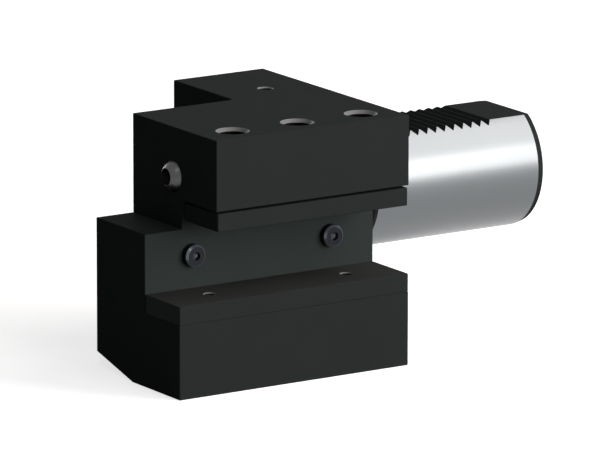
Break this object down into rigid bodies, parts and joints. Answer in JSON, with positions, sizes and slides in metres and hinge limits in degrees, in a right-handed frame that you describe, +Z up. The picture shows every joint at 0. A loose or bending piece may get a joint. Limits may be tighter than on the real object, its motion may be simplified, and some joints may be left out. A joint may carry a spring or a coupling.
{
  "type": "axial turning tool holder",
  "caption": "Axial turning tool holder: toothed cylindrical shank, block with a square-tool slot, a clamping strip pressed by set screws, and a swivelling coolant ball.",
  "frame": {"origin": "where the shank's axis meets the flange's contact face", "axes": "+X along the shank, away from the block; +Z up, square to the toothed flat; +Y to the back, away from the tool slot"},
  "size_m": [0.178, 0.1, 0.095],
  "materials": {
    "blackened_steel": "blackened steel, fine milled and ground; the shank ground bright",
    "seat_steel": "hardened and blackened steel, ground",
    "screw_steel": "blackened screw steel with a satin sheen",
    "ball_steel": "satin stainless steel",
    "spring_steel": "bright drawn spring steel",
    "seal_rubber": "black nitrile rubber"
  },
  "bodies": {
    "holder": {"holder_body": "blackened_steel", "seat_plate": "seat_steel", "shank_seal_ring": "seal_rubber", "nozzle_seal": "seal_rubber", "nozzle_retaining_ring": "spring_steel", "coolant_plug_top": "screw_steel", "coolant_plug_back": "screw_steel", "seat_plate_pin_left": "spring_steel", "side_stop_screw_left": "screw_steel", "seat_plate_pin_right": "spring_steel", "side_stop_screw_right": "screw_steel"},
    "strip": {"clamping_strip": "blackened_steel", "strip_snap_ring_left": "spring_steel", "strip_snap_ring_middle": "spring_steel", "strip_snap_ring_right": "spring_steel"},
    "clamping_screw_left": {"clamping_screw_left": "screw_steel"},
    "clamping_screw_middle": {"clamping_screw_middle": "screw_steel"},
    "clamping_screw_right": {"clamping_screw_right": "screw_steel"},
    "ball": {"nozzle_ball": "ball_steel"}
  },
  "joints": [
    {"name": "strip_slide", "type": "slide", "parent": "holder", "child": "strip", "axis": [0, 0, -1], "range_m": [-0.0008, 0.006]},
    {"name": "clamping_screw_left_turn", "type": "hinge", "parent": "strip", "child": "clamping_screw_left", "pos_m": [-0.0695, -0.038, 0.02], "axis": [0, 0, -1], "range_deg": [-166, 1235]},
    {"name": "clamping_screw_middle_turn", "type": "hinge", "parent": "strip", "child": "clamping_screw_middle", "pos_m": [-0.0415, -0.038, 0.02], "axis": [0, 0, -1], "range_deg": [-166, 1235]},
    {"name": "clamping_screw_right_turn", "type": "hinge", "parent": "strip", "child": "clamping_screw_right", "pos_m": [-0.0135, -0.038, 0.02], "axis": [0, 0, -1], "range_deg": [-166, 1235]},
    {"name": "nozzle_swivel", "type": "hinge", "parent": "holder", "child": "ball", "pos_m": [-0.082, -0.02, 0.0165], "axis": [0, 0, 1], "range_deg": [-20, 20]}
  ],
  "couplings": [
    {"joint": "clamping_screw_left_turn", "follows": "strip_slide", "rad_per_m": 3590.4},
    {"joint": "clamping_screw_middle_turn", "follows": "strip_slide", "rad_per_m": 3590.4},
    {"joint": "clamping_screw_right_turn", "follows": "strip_slide", "rad_per_m": 3590.4}
  ]
}
